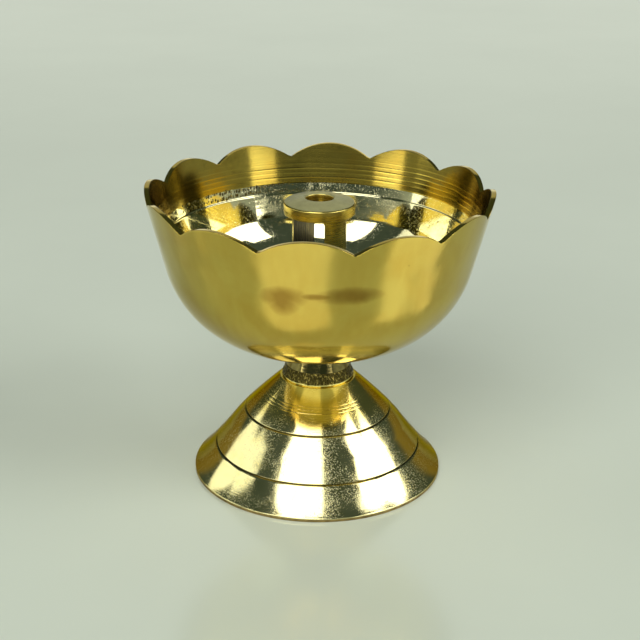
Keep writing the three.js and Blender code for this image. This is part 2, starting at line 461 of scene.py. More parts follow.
def shade(thing):
    """Smooth shading that breaks at the real edges."""
    mesh = thing.data
    mesh.polygons.foreach_set("use_smooth", [True] * len(mesh.polygons))
    mesh.set_sharp_from_angle(angle=SHARP_EDGE)
    mesh.update()


def dressed(thing, *finishes):
    """Gives the object its finishes, one for each part number."""
    for finish in finishes:
        thing.data.materials.append(finish)


def placed(thing, node, body):
    """The finished object rides on its body and stands for its node."""
    shade(thing)
    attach(thing, body)
    if node:
        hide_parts(node)


# Node trees


class Nodes:
    """Writes nodes into a shader or geometry tree. A value is a number, a vector or another socket."""

    def __init__(self, tree):
        self.tree = tree

    def feed(self, socket, value):
        if isinstance(value, bpy.types.NodeSocket):
            self.tree.links.new(value, socket)
        else:
            socket.default_value = value

    def node(self, kind, inputs=None, **settings):
        """A node with its settings, and its inputs by name or number."""
        node = self.tree.nodes.new(kind)
        for name, value in settings.items():
            setattr(node, name, value)
        for name, value in (inputs or {}).items():
            self.feed(node.inputs[name], value)
        return node

    def maths(self, operation, *values):
        return self.node("ShaderNodeMath", dict(enumerate(values)), operation=operation).outputs[0]

    def plus(self, first, second):
        return self.maths("ADD", first, second)

    def less(self, first, second):
        return self.maths("SUBTRACT", first, second)

    def times(self, first, second):
        return self.maths("MULTIPLY", first, second)

    def over(self, first, second):
        return self.maths("DIVIDE", first, second)

    def vector(self, x, y, z):
        return self.node("ShaderNodeCombineXYZ", {0: x, 1: y, 2: z}).outputs[0]

    def split(self, vector):
        return self.node("ShaderNodeSeparateXYZ", {0: vector}).outputs

    def mapped(self, value, from_low, from_high, to_low=0.0, to_high=1.0):
        """A number moved from one range to another, and held inside it."""
        ranges = {0: value, 1: from_low, 2: from_high, 3: to_low, 4: to_high}
        return self.node("ShaderNodeMapRange", ranges).outputs[0]

    def mix(self, factor, first, second):
        """A colour between two colours, each a triple or a socket."""
        node = self.node("ShaderNodeMix", {0: factor}, data_type="RGBA")
        for socket, value in (node.inputs[6], first), (node.inputs[7], second):
            self.feed(socket, value if isinstance(value, bpy.types.NodeSocket) else (*value, 1.0))
        return node.outputs[2]


class Growth(Nodes):
    """A Geometry Nodes tree with named inputs."""

    def __init__(self, name):
        super().__init__(bpy.data.node_groups.new(name, "GeometryNodeTree"))
        for way in "INPUT", "OUTPUT":
            self.tree.interface.new_socket("Geometry", in_out=way, socket_type="NodeSocketGeometry")
        self.start = self.tree.nodes.new("NodeGroupInput")
        self.end = self.tree.nodes.new("NodeGroupOutput")

    def input(self, name, kind="Float"):
        self.tree.interface.new_socket(name, in_out="INPUT", socket_type="NodeSocket" + kind)
        return self.start.outputs[name]

    def inputs(self, *names, kind="Float"):
        return [self.input(name, kind) for name in names]

    def spot(self):
        """A point's place, and its distance from the Z axis."""
        x, y, z = self.split(self.node("GeometryNodeInputPosition").outputs[0])
        return x, y, z, self.maths("SQRT", self.plus(self.times(x, x), self.times(y, y)))

    def moved(self, spot, radius, z):
        """The incoming mesh with its points at a new distance from the axis and a new height."""
        x, y, _, old_radius = spot
        factor = self.over(radius, self.maths("MAXIMUM", old_radius, 0.00001))
        place = self.vector(self.times(x, factor), self.times(y, factor), z)
        inputs = {"Geometry": self.start.outputs[0], "Position": place}
        return self.node("GeometryNodeSetPosition", inputs).outputs[0]

    def finish(self, geometry, *finishes):
        """Ends the tree: instances made real, then a material for each part number."""
        made = self.node("GeometryNodeRealizeInstances", {0: geometry}).outputs[0]
        for part, finish in enumerate(finishes):
            setter = self.node("GeometryNodeSetMaterial", {"Geometry": made, "Material": finish})
            if part:
                number = self.node("GeometryNodeInputNamedAttribute", {"Name": "part"}, data_type="INT")
                same = self.node(
                    "FunctionNodeCompare", {2: number.outputs[0], 3: part}, data_type="INT", operation="EQUAL"
                )
                self.feed(setter.inputs["Selection"], same.outputs[0])
            made = setter.outputs[0]
        self.feed(self.end.inputs[0], made)
        return self.tree


def grow(thing, tree, values):
    """Runs a tree on the object, with its inputs given by name, and keeps the plain result."""
    modifier = thing.modifiers.new(tree.name, "NODES")
    modifier.node_group = tree
    for item in tree.interface.items_tree:
        if item.in_out == "INPUT" and item.name in values:
            modifier[item.identifier] = values[item.name]
    settle(thing)


def lotus_rim_tree():
    """Draws the rim down between round petals and raises the turned rings of the inner band."""
    g = Growth("Lotus rim")
    petals = g.input("Petals", "Int")
    turn, drop, rim_radius = g.inputs("Petal turn", "Petal drop", "Rim radius")
    rim_height, root_height, slope = g.inputs("Rim height", "Root height", "Wall slope")
    ring_pitch, ring_depth, band_low = g.inputs("Ring pitch", "Ring depth", "Band height")
    unevenness = g.input("Unevenness")
    finishes = g.inputs("Outside", "Band", "Well", kind="Material")
    edge_zone = 0.0006  # below the rim, where the whole wall moves as one
    ring_strays = 5.0  # radians
    stray_scale = 700.0  # in a metre of height
    ring_sharpness = 9.0
    dent_scale = 75.0  # in a metre

    spot = g.spot()
    x, y, z, radius = spot
    half_petal = g.over(math.pi, petals)
    bearing = g.less(g.maths("ARCTAN2", y, x), turn)
    off_petal = g.maths("WRAP", bearing, half_petal, g.times(half_petal, -1.0))
    sine = g.maths("SINE", off_petal)

    chord = g.times(rim_radius, g.maths("SINE", half_petal))
    squares = g.plus(g.times(chord, chord), g.times(drop, drop))
    petal_radius = g.over(squares, g.times(drop, 2.0))
    petal_square = g.times(petal_radius, petal_radius)

    def sag(spoke):
        """How far the petal's round edge lies below its tip, at a radius from the axis."""
        aside = g.times(spoke, sine)
        rise = g.maths("SQRT", g.less(petal_square, g.times(aside, aside)))
        return g.less(petal_radius, rise)

    first = sag(radius)
    fall = sag(g.less(radius, g.times(first, slope)))
    pull = g.mapped(z, root_height, g.less(rim_height, edge_zone))
    fall = g.times(fall, pull)
    new_z = g.less(z, fall)
    new_radius = g.less(radius, g.times(fall, slope))

    inner = g.node("GeometryNodeInputNamedAttribute", {"Name": "band"}, data_type="FLOAT").outputs[0]
    wobble = g.node(
        "ShaderNodeTexNoise", {"W": g.times(new_z, stray_scale), "Detail": 1.0}, noise_dimensions="1D"
    ).outputs[0]
    phase = g.over(g.times(new_z, FULL_TURN), ring_pitch)
    wave = g.maths("SINE", g.plus(phase, g.times(wobble, ring_strays)))
    ridge = g.maths("POWER", g.maths("MULTIPLY_ADD", wave, 0.5, 0.5), ring_sharpness)
    above_ledge = g.mapped(z, band_low, g.plus(band_low, ring_pitch))
    below_petals = g.mapped(z, g.less(root_height, ring_pitch), root_height, 1.0, 0.0)
    clear = g.times(above_ledge, below_petals)
    ring = g.times(g.times(ridge, ring_depth), g.times(inner, clear))
    new_radius = g.less(new_radius, ring)

    dents = g.node("ShaderNodeTexNoise", {"Scale": dent_scale, "Detail": 1.0}).outputs[0]
    new_radius = g.less(new_radius, g.times(dents, unevenness))
    return g.finish(g.moved(spot, new_radius, new_z), *finishes)


def chatter_tree():
    """Rows of small marks round a turned wall, uneven as a chattering tool leaves them."""
    g = Growth("Chatter marks")
    rows, columns = g.inputs("Rows", "Marks in a row", kind="Int")
    wall_radius, slope = g.inputs("Wall radius", "Wall slope")
    height, gap, start, sweep = g.inputs("Height", "Row gap", "Start angle", "Sweep")
    mark_size = g.input("Mark size", "Vector")
    slant, fade = g.inputs("Slant", "Fade")
    seed = g.input("Seed", "Int")
    finish = g.input("Finish", "Material")

    index = g.node("GeometryNodeInputIndex").outputs[0]
    row = g.maths("FLOOR", g.over(g.plus(index, 0.5), columns))
    column = g.less(index, g.times(row, columns))

    def uneven(least, most, offset):
        node = g.node("FunctionNodeRandomValue", {2: least, 3: most}, data_type="FLOAT")
        g.feed(node.inputs["Seed"], g.plus(seed, offset))
        return node.outputs[1]

    stagger = g.times(g.maths("MODULO", row, 2.0), 0.5)
    place = g.over(g.plus(g.plus(column, stagger), uneven(-0.3, 0.3, 0)), columns)
    bearing = g.maths("MULTIPLY_ADD", place, sweep, start)
    rise = g.times(g.plus(row, uneven(-0.22, 0.22, 1)), gap)
    spoke = g.maths("MULTIPLY_ADD", rise, slope, wall_radius)
    x = g.times(spoke, g.maths("COSINE", bearing))
    y = g.times(spoke, g.maths("SINE", bearing))
    spots = g.node(
        "GeometryNodePoints",
        {"Count": g.times(rows, columns), "Position": g.vector(x, y, g.plus(height, rise))},
    )
    ends = g.maths("SINE", g.times(g.maths("FRACT", place), math.pi))
    kept = g.maths("POWER", g.maths("ABSOLUTE", ends), fade)
    size = g.node(
        "ShaderNodeVectorMath",
        {0: mark_size, "Scale": g.times(kept, uneven(0.55, 1.15, 2))},
        operation="SCALE",
    )
    lean = g.maths("ARCTANGENT", slope)
    turn = g.vector(g.times(slant, uneven(0.4, 1.4, 3)), lean, bearing)
    mark = g.node("GeometryNodeMeshIcoSphere", {"Radius": 1.0, "Subdivisions": 2})
    marks = g.node(
        "GeometryNodeInstanceOnPoints",
        {
            "Points": spots.outputs[0],
            "Instance": mark.outputs[0],
            "Rotation": turn,
            "Scale": size.outputs[0],
        },
    )
    return g.finish(marks.outputs[0], finish)


def thread_tree():
    """Cuts a screw thread into a plain rod."""
    g = Growth("Screw thread")
    rod_radius, pitch, depth = g.inputs("Rod radius", "Pitch", "Depth")
    finish = g.input("Finish", "Material")
    flat_share = 0.08  # of the pitch, at the crest and at the root
    side_share = 0.98  # of the rod's radius, past which a point is on its side
    spot = g.spot()
    x, y, z, radius = spot
    turns = g.over(g.maths("ARCTAN2", y, x), FULL_TURN)
    phase = g.maths("FRACT", g.less(g.over(z, pitch), turns))
    flank = g.maths("ABSOLUTE", g.maths("MULTIPLY_ADD", phase, 2.0, -1.0))
    crest = g.times(g.mapped(flank, flat_share, 1 - flat_share), depth)
    on_side = g.maths("GREATER_THAN", radius, g.times(rod_radius, side_share))
    new_radius = g.less(radius, g.times(crest, on_side))
    return g.finish(g.moved(spot, new_radius, z), finish)


# Finishes


# Heights between which a finish changes, in millimetres
LIP_MARKS = (1.0, 8.0)
# Above these heights the foot's upper shoulder is painted gold, a painted reflection of the bowl's underside
SHOULDER_REFLECTION = (15.0, 17.4)
POLISHED_UNDERSIDE = (30.6, 31.8)
BUFFED_BELLY = (31.0, 36.0)
# The ringed band's painted glint lines fade out between these heights
BAND_GLINTS_END = (61.5, 63.5)

# Patches of tarnish on the bowl's front: centre across and up, half width and half height, in millimetres
SMUDGES = (
    (-7.0, 53.9, 5.2, 2.7),
    (-6.8, 52.9, 3.4, 3.6),
    (0.0, 54.3, 5.5, 0.9),
    (6.0, 54.4, 7.4, 2.2),
)


class Metal(Nodes):
    """A procedural metal. Its patterns read Object coordinates in millimetres."""

    def __init__(self):
        self.material = bpy.data.materials.new("metal")
        self.material.use_nodes = True
        super().__init__(self.material.node_tree)
        self.shader = self.tree.nodes["Principled BSDF"]
        self.shader.inputs["Metallic"].default_value = 1.0
        place = self.node("ShaderNodeTexCoord").outputs["Object"]
        self.place = self.node("ShaderNodeMapping", {"Vector": place, "Scale": (MILLIMETRES,) * 3}).outputs[0]
        x, y, z = self.split(self.place)
        flat = self.vector(x, y, 0.0)
        radius = self.node("ShaderNodeVectorMath", {0: flat}, operation="LENGTH").outputs["Value"]
        drift = self.times(self.plus(x, y), 0.015)
        self.lathe = self.vector(radius, drift, z)
        self.x, self.y, self.height = x, y, z
        self.normal = None

    def noise(self, place, scale, detail=2.0, roughness=0.5, distortion=0.0):
        """Soft noise whose features measure about 1 / scale millimetres."""
        inputs = {
            "Vector": place,
            "Scale": scale,
            "Detail": detail,
            "Roughness": roughness,
            "Distortion": distortion,
        }
        return self.node("ShaderNodeTexNoise", inputs).outputs["Fac"]

    def stretched(self, x, y, z):
        """Object coordinates squeezed by a factor along each axis, for streaks."""
        return self.node("ShaderNodeMapping", {"Vector": self.place, "Scale": (x, y, z)}).outputs[0]

    def paint(self, tint):
        self.feed(self.shader.inputs["Base Color"], tint)

    def rough(self, value):
        self.feed(self.shader.inputs["Roughness"], value)

    def rough_by(self, noise, smooth, dull):
        """Roughness between two values, led by a noise, most of which lies from 0.3 to 0.7."""
        self.rough(self.mapped(noise, 0.3, 0.7, smooth, dull))

    def bump(self, height, distance):
        """Adds relief of a depth in metres."""
        inputs = {"Height": height, "Distance": distance, "Strength": 1.0}
        if self.normal is not None:
            inputs["Normal"] = self.normal
        self.normal = self.node("ShaderNodeBump", inputs).outputs[0]
        self.feed(self.shader.inputs["Normal"], self.normal)


def tone(tint, *factors):
    """A colour scaled by one factor, or by one for each channel."""
    if len(factors) == 1:
        factors *= len(tint)
    return tuple(min(1.0, channel * factor) for channel, factor in zip(tint, factors))


def polished_brass(tint):
    """Mirror polish with fine turning marks that come and go, light handling haze, and gold painted over the
    upper shoulder as a painted reflection of the bowl's underside.
    """
    m = Metal()
    haze = m.noise(m.place, 0.22, 3.0)
    marks = m.noise(m.stretched(0.02, 0.02, 1.0), 6.0, 2.0, 0.6)
    worn = m.mapped(m.noise(m.place, 0.09, 2.0), 0.42, 0.62)
    near_lip = m.mapped(m.height, *LIP_MARKS, 1.0, 0.15)
    tarnish = m.mapped(m.noise(m.place, 0.35, 4.0, 0.65), 0.5, 0.8, 0.0, 0.5)
    gold = tone(tint, 0.96, 0.86, 0.5)
    m.shader.inputs["Specular Tint"].default_value = (0.4, 0.3, 0.05, 1.0)
    # Random gold patches of tarnish, and the upper shoulder painted gold as a painted reflection of the
    # bowl's underside
    tarnish_and_reflection = m.maths("MAXIMUM", tarnish, m.mapped(m.height, *SHOULDER_REFLECTION, 0.0, 0.9))
    foot = bpy.context.scene.diya.foot
    grooves = 0.0
    for level in foot.low_groove, foot.high_groove:
        off = m.maths("ABSOLUTE", m.less(m.height, level * MILLIMETRES))
        grooves = m.maths("MAXIMUM", grooves, m.mapped(off, 0.1, 0.2, 0.85, 0.0))
    m.paint(m.mix(grooves, m.mix(tarnish_and_reflection, tint, gold), tone(gold, 0.15)))
    cloudy = m.mapped(m.noise(m.place, 0.13, 3.0, 0.6), 0.4, 0.56, 0.15, 1.0)
    specks = m.times(m.mapped(m.noise(m.place, 4.0, 2.0, 0.7), 0.5, 0.66), cloudy)
    m.rough(m.maths("MULTIPLY_ADD", specks, 0.28, m.mapped(haze, 0.3, 0.7, 0.05, 0.12)))
    m.bump(specks, -0.000003)
    m.bump(m.times(marks, m.maths("MAXIMUM", m.times(worn, 0.5), near_lip)), 0.000012)
    return m.material


def cast_brass(tint):
    """Rough cast skin inside the foot's hollow."""
    m = Metal()
    grain = m.noise(m.place, 1.6, 4.0, 0.6)
    dark = m.mapped(m.noise(m.place, 0.4, 3.0), 0.35, 0.7)
    m.paint(m.mix(dark, tint, tone(tint, 0.5)))
    m.rough_by(grain, 0.42, 0.68)
    m.bump(grain, 0.00012)
    return m.material


def smudge(m, centre_x, centre_z, half_width, half_height):
    """A soft-edged patch of tarnish."""
    across = m.over(m.less(m.x, centre_x), half_width)
    up = m.over(m.less(m.height, centre_z), half_height)
    spread = m.plus(m.times(across, across), m.times(up, up))
    ragged = m.maths("MULTIPLY_ADD", m.noise(m.place, 0.3, 2.0), 0.7, spread)
    return m.mapped(ragged, 0.45, 1.35, 1.0, 0.0)


def satin_brass(tint):
    """Spun and lightly buffed outside, with soft blotches, faint streaks and a few pits."""
    m = Metal()
    blotch = m.mapped(m.noise(m.place, 0.085, 3.0, 0.55, 0.6), 0.38, 0.66)
    streak = m.noise(m.stretched(0.5, 0.5, 0.09), 1.0, 3.0)
    warm = tone(tint, 0.93, 0.86, 0.74)
    pits = m.node("ShaderNodeTexVoronoi", {"Vector": m.place, "Scale": 0.21}).outputs["Distance"]
    pit = m.mapped(pits, 0.02, 0.055, 1.0, 0.0)
    ground = m.mix(blotch, tint, warm)
    streaked = m.mix(m.mapped(streak, 0.45, 0.75, 0.0, 0.35), ground, tone(tint, 1.12))
    smudges = 0.0
    for patch in SMUDGES:
        smudges = m.maths("MAXIMUM", smudges, smudge(m, *patch))
    smudges = m.times(smudges, m.maths("LESS_THAN", m.y, 0.0))
    smudged = m.mix(smudges, streaked, tone(tint, 0.52, 0.42, 0.35))
    underside = m.mapped(m.height, *POLISHED_UNDERSIDE, 1.0, 0.0)
    clean = m.mix(underside, smudged, tone(tint, 1.3, 1.55, 4.0))
    m.paint(m.mix(m.times(pit, 0.5), clean, tone(tint, 0.4)))
    polish = m.mapped(m.height, *BUFFED_BELLY, 0.5, 1.0)
    m.rough(m.times(m.mapped(m.noise(m.place, 0.5, 4.0, 0.6), 0.3, 0.7, 0.09, 0.15), polish))
    m.bump(m.noise(m.place, 0.11, 1.0, 0.4), 0.00025)
    m.bump(pit, -0.00002)
    return m.material


def ringed_brass(tint):
    """The turned band: tool marks that run round it, with orange and brown heat tints, and painted glints
    along its rings, strongest towards the right.
    """
    m = Metal()
    marks = m.noise(m.lathe, 3.2, 4.0, 0.7)
    warm = m.mapped(m.noise(m.place, 0.12, 3.0, 0.6), 0.42, 0.68)
    orange = tone(tint, 1.0, 0.9, 0.75)
    dirt = m.mapped(m.noise(m.place, 0.35, 4.0, 0.7), 0.52, 0.75, 0.0, 0.45)
    ground = m.mix(dirt, m.mix(warm, tint, orange), tone(tint, 0.5))
    m.rough_by(marks, 0.09, 0.17)
    stray = m.times(m.noise(m.stretched(0, 0, 1), 0.7), 3.0)
    # Light lines along the rings are painted glints, clearest towards +X (the right) and fading out near the
    # top
    line_rate = 5.8  # radians in a millimetre
    turn = m.maths("MULTIPLY_ADD", m.height, line_rate, stray)
    line = m.maths("POWER", m.maths("MULTIPLY_ADD", m.maths("SINE", turn), 0.5, 0.5), 9.0)
    glint_side = m.mapped(m.x, 6.0, 16.0, 0.25, 1.0)
    glint_strength = m.times(glint_side, m.mapped(m.noise(m.place, 0.1, 2.0), 0.35, 0.55, 0.2, 1.0))
    glint_strength = m.times(glint_strength, m.mapped(m.height, *BAND_GLINTS_END, 1.0, 0.1))
    bright = m.times(line, glint_strength)
    m.paint(m.mix(bright, ground, tone(tint, 2.2)))
    m.bump(bright, 0.000005)
    m.bump(marks, 0.000003)
    return m.material


def polished_well(tint):
    """The bright lower half of the bowl, with curved wiping scratches."""
    m = Metal()
    scratch_place = m.node(
        "ShaderNodeMapping",
        {"Vector": m.place, "Rotation": (0.3, 0.5, 0.9), "Scale": (2.4, 0.16, 1.2)},
    ).outputs[0]
    scratches = m.mapped(m.noise(scratch_place, 1.5, 3.0, 0.75, 0.4), 0.58, 0.7)
    stain = m.mapped(m.noise(m.place, 0.14, 4.0, 0.6, 0.5), 0.45, 0.7, 0.0, 0.7)
    m.paint(m.mix(stain, tint, tone(tint, 0.72)))
    haze = m.mapped(m.noise(m.place, 0.5, 3.0), 0.35, 0.7, 0.03, 0.1)
    m.rough(m.maths("MULTIPLY_ADD", scratches, 0.14, haze))
    m.bump(scratches, -0.000003)
    m.bump(m.noise(m.lathe, 1.4, 2.0, 0.5), 0.000003)
    return m.material


def dark_brass(tint):
    """The neck's smooth dark throat."""
    m = Metal()
    haze = m.noise(m.place, 0.7, 3.0)
    m.paint(m.mix(m.mapped(haze, 0.4, 0.65), tint, tone(tint, 0.7)))
    m.rough_by(haze, 0.05, 0.13)
    m.bump(m.noise(m.lathe, 3.0, 2.0), 0.000004)
    return m.material


def chattered_brass(tint):
    """Dark unpolished brass, broken by the tool's chatter."""
    m = Metal()
    grain = m.noise(m.stretched(1.0, 1.0, 0.35), 3.0, 4.0, 0.7)
    m.paint(m.mix(m.mapped(grain, 0.34, 0.48), tone(tint, 5.0), tone(tint, 0.5)))
    m.rough_by(grain, 0.2, 0.4)
    m.bump(grain, 0.00006)
    return m.material


def turned_brass(tint):
    """Lathe-turned sides with close rings."""
    m = Metal()
    marks = m.noise(m.lathe, 4.5, 3.0, 0.7)
    dull = m.mapped(m.noise(m.place, 0.5, 3.0), 0.4, 0.7, 0.0, 0.7)
    m.paint(m.mix(dull, tint, tone(tint, 0.6)))
    m.rough_by(marks, 0.2, 0.36)
    m.bump(marks, 0.00001)
    return m.material


def faced_brass(tint):
    """The holder's matt top: faced across on the lathe and greyed by handling."""
    m = Metal()
    m.shader.inputs["Metallic"].default_value = 0.12
    marks = m.noise(m.lathe, 6.0, 3.0, 0.7)
    dull = m.mapped(m.noise(m.place, 0.45, 4.0, 0.6), 0.35, 0.7)
    m.paint(m.mix(dull, tint, tone(tint, 0.78)))
    m.rough_by(m.noise(m.place, 1.2, 3.0), 0.38, 0.55)
    m.bump(marks, 0.000015)
    return m.material


def shaded_sawn_brass(tint):
    """The slot's faces, with upright saw marks, their brass darkened almost to black as painted shade inside
    the slot.
    """
    m = Metal()
    cuts = m.noise(m.stretched(2.6, 2.6, 0.12), 1.0, 4.0, 0.7)
    m.paint(m.mix(m.mapped(cuts, 0.36, 0.5), tone(tint, 1.6), tone(tint, 0.15)))
    m.rough_by(cuts, 0.25, 0.5)
    m.bump(cuts, 0.00005)
    return m.material


def pale_stone(tint):
    """Plain pale stone with a soft polish."""
    material = bpy.data.materials.new("stone")
    material.use_nodes = True
    n = Nodes(material.node_tree)
    shader = material.node_tree.nodes["Principled BSDF"]
    shader.inputs["Roughness"].default_value = 0.17
    shader.inputs["IOR"].default_value = 2.3
    place = n.node("ShaderNodeTexCoord").outputs["Object"]
    cloud = n.node("ShaderNodeTexNoise", {"Vector": place, "Scale": 9.0, "Detail": 4.0}).outputs["Fac"]
    n.feed(shader.inputs["Base Color"], n.mix(n.mapped(cloud, 0.3, 0.7), tint, tone(tint, 0.94)))
    return material


def finish_of(make, tint):
    """The finish that a function makes, made once."""
    name = make.__name__ + "_finish"
    made = bpy.data.materials.get(name)
    if made is None:
        made = make(tuple(tint))
        made.name = name
    return made


# Pieces


def stud_hole():
    """Radius of the hole that the stud passes."""
    return bpy.context.scene.diya.fastening.hole_radius


def foot_profile(s):
    """The bell's closed profile: a hollow skirt, a round shoulder and a flat crown."""
    top, hole = high("foot"), stud_hole()
    waist = at(s.waist_radius, s.waist_height)
    skirt = bowed(at(s.radius, s.lip), waist, s.skirt_corner, s.skirt_hollow, SKIRT_STEPS)
    crown_edge = at(s.top_radius, top)
    shoulder = bowed(waist, crown_edge, s.shoulder_corner, -s.shoulder_round, SHOULDER_STEPS)
    outside = skirt + shoulder[1:]
    inside = up_to(up_from(shifted(outside, s.wall), s.lip), top - s.crown)
    for height in s.low_groove, s.high_groove:
        outside = scored(outside, height, s.groove_width, s.groove_depth)
    ring_width = s.ring_pitch * 0.4
    for i in range(s.rings):
        outside = scored(outside, s.first_ring + i * s.ring_pitch, ring_width, s.ring_depth)
    loop = tagged([at(inside[0].x, 0), at(s.radius, 0)], FOOT_HOLLOW)
    loop += tagged(outside, OUTSIDE)
    loop += tagged([at(hole, top), at(hole, top - s.crown)] + inside[::-1], FOOT_HOLLOW)
    return eased(loop, SOFT_EASE)


class DIYA_OT_foot(bpy.types.Operator):
    """Make the hollow bell foot"""

    bl_idname = "diya.foot"
    bl_label = "Bell foot"

    def execute(self, context):
        s = context.scene.diya.foot
        foot = turned("bell_foot", foot_profile(s), FOOT_SIDES)
        dressed(foot, finish_of(polished_brass, s.tint), finish_of(cast_brass, s.cast_tint))
        placed(foot, "foot", "stand")
        return {"FINISHED"}


def collar_profile(s):
    """The neck: an upright edge and a throat that tapers up to the bowl, its lower part chattered."""
    base, top = low("neck_collar"), high("neck_collar")
    hole = stud_hole()
    throat = straight(at(s.radius, base + s.edge), at(s.top_radius, top), THROAT_STEPS)
    seat = [at(hole, base), at(s.radius, base)]
    rough = up_to(throat, base + s.chatter)
    smooth = up_from(throat, base + s.chatter)[1:]
    loop = tagged(seat, COLLAR_EDGE) + tagged(rough, COLLAR_CHATTERED)
    loop += tagged(smooth + [at(hole, top)], OUTSIDE)
    return eased(loop, CRISP_EASE)


def chatter_marks(name, finish, **values):
    """A piece made of tool marks alone, half sunk in the wall that carries them."""
    marks = piece(name, [], [], [])
    tree = bpy.data.node_groups.get("Chatter marks") or chatter_tree()
    inputs = {key.replace("_", " ").capitalize(): value for key, value in values.items()}
    grow(marks, tree, {"Finish": finish, **inputs})
    return marks


def collar_chatter(s, finish):
    """The marks round the collar's lower part, which tapers as its throat does."""
    gap = (s.chatter - s.edge) / s.mark_rows
    low_edge = low("neck_collar") + s.edge
    taper = (s.radius - s.top_radius) / (high("neck_collar") - low_edge)
    return chatter_marks(
        "collar_chatter",
        finish,
        rows=s.mark_rows,
        marks_in_a_row=s.marks,
        wall_radius=s.radius - taper * gap / 2,
        height=low_edge + gap / 2,
        row_gap=gap,
        wall_slope=-taper,
        sweep=FULL_TURN,
        mark_size=COLLAR_MARK,
        slant=0.5,
        seed=3,
    )


class DIYA_OT_collar(bpy.types.Operator):
    """Make the dark neck collar and its chattered band"""

    bl_idname = "diya.collar"
    bl_label = "Neck collar"

    def execute(self, context):
        s = context.scene.diya.collar
        chattered = finish_of(chattered_brass, s.chatter_tint)
        collar = turned("turned_collar", collar_profile(s), COLLAR_SIDES)
        polished = finish_of(polished_brass, context.scene.diya.foot.tint)
        dressed(collar, finish_of(dark_brass, s.tint), chattered, polished)
        placed(collar, "neck_collar", "stand")
        placed(collar_chatter(s, chattered), None, "stand")
        return {"FINISHED"}


def belly_of(s):
    """The centre of the belly's round, and the wall's normal with its reach less that radius."""
    wall_normal = at(math.cos(s.flare), -math.sin(s.flare))
    base_normal = at(math.sin(s.underside), -math.cos(s.underside))
    wall_reach = wall_normal.dot(at(s.rim_radius, high("bowl"))) - s.belly_radius
    base_reach = base_normal.dot(at(s.seat_radius, low("bowl"))) - s.belly_radius
    spread = wall_normal.cross(base_normal)
    centre = at(
        (wall_reach * base_normal.y - base_reach * wall_normal.y) / spread,
        (base_reach * wall_normal.x - wall_reach * base_normal.x) / spread,
    )
    return centre, wall_normal, wall_reach


def bowl_side(s, inset, top):
    """One side of the bowl's wall, from the foot of the belly up to a height."""
    centre, wall_normal, wall_reach = belly_of(s)
    radius = s.belly_radius - inset
    belly = arc(centre, radius, s.underside - math.pi / 2, -s.flare, BELLY_STEPS)
    top_radius = (wall_reach + radius - wall_normal.y * top) / wall_normal.x
    return belly + straight(belly[-1], at(top_radius, top), WALL_STEPS)[1:]


def ledge_height(s):
    return high("bowl") - s.ledge_drop


def well_side(s):
    """The inside below the ledge: a leaning wall, a tight round, and a shallow curve down to the floor."""
    ledge = ledge_height(s)
    start = at(s.floor_radius, low("wick_holder"))
    edge = at(radius_at(bowl_side(s, s.wall, high("bowl")), ledge), ledge)
    wall_end = at(edge.x - (edge.y - s.turn_height) * math.tan(s.well_lean), s.turn_height)
    centre = wall_end - at(math.cos(s.well_lean), -math.sin(s.well_lean)) * s.turn_radius
    turn = arc(centre, s.turn_radius, -s.turn_lean, -s.well_lean, TURN_STEPS)
    up_slope = at(math.cos(s.well_slope), math.sin(s.well_slope))
    down_turn = at(-math.sin(s.turn_lean), -math.cos(s.turn_lean))
    corner = turn[0] + down_turn * ((start - turn[0]).cross(up_slope) / down_turn.cross(up_slope))
    slope = curved(start, corner, turn[0], WELL_STEPS)
    return slope + turn[1:-1] + straight(turn[-1], edge, LEDGE_STEPS)


def plain_wall(s):
    """The foot and the head of the plain polished wall above the ledge."""
    ledge = ledge_height(s)
    head = ledge + s.plain_wall
    foot_radius = well_side(s)[-1].x + s.ledge_width
    return at(foot_radius, ledge), at(radius_at(bowl_side(s, s.rim_wall, high("bowl")), head), head)


def bowl_profile(s):
    """The bowl before its rim is cut: outside, turned band above the ledge, polished well."""
    base, top, floor = low("bowl"), high("bowl"), low("wick_holder")
    hole = stud_hole()
    ledge = ledge_height(s)
    wall_foot, wall_head = plain_wall(s)
    band_side = bowl_side(s, s.rim_wall, top)
    band = straight(at(radius_at(band_side, ledge), ledge), band_side[-1], BAND_STEPS)
    ringed = up_from(band, wall_head.y)
    plain = straight(wall_foot, wall_head, PLAIN_STEPS)
    loop = tagged([at(hole, base), at(s.seat_radius, base)] + bowl_side(s, 0, top), OUTSIDE)
    loop += tagged(ringed[::-1], BOWL_BAND)
    loop += tagged(plain[-2::-1] + well_side(s)[::-1] + [at(hole, floor)], BOWL_WELL)
    return eased(loop, FINE_EASE)


def chatter_dots(s, finish):
    """The rows of dots on the plain wall above the ledge, along part of its round."""
    wall_foot, wall_head = plain_wall(s)
    slope = (wall_head.x - wall_foot.x) / s.plain_wall
    first_row = s.plain_wall * 0.3
    return chatter_marks(
        "chatter_dots",
        finish,
        rows=s.dot_rows,
        marks_in_a_row=s.dots,
        wall_radius=wall_foot.x + slope * first_row,
        height=wall_foot.y + first_row,
        row_gap=s.plain_wall * 0.5,
        wall_slope=slope,
        start_angle=s.dots_start,
        sweep=s.dots_sweep,
        mark_size=BOWL_DOT,
        slant=0.25,
        fade=0.35,
        seed=8,
    )


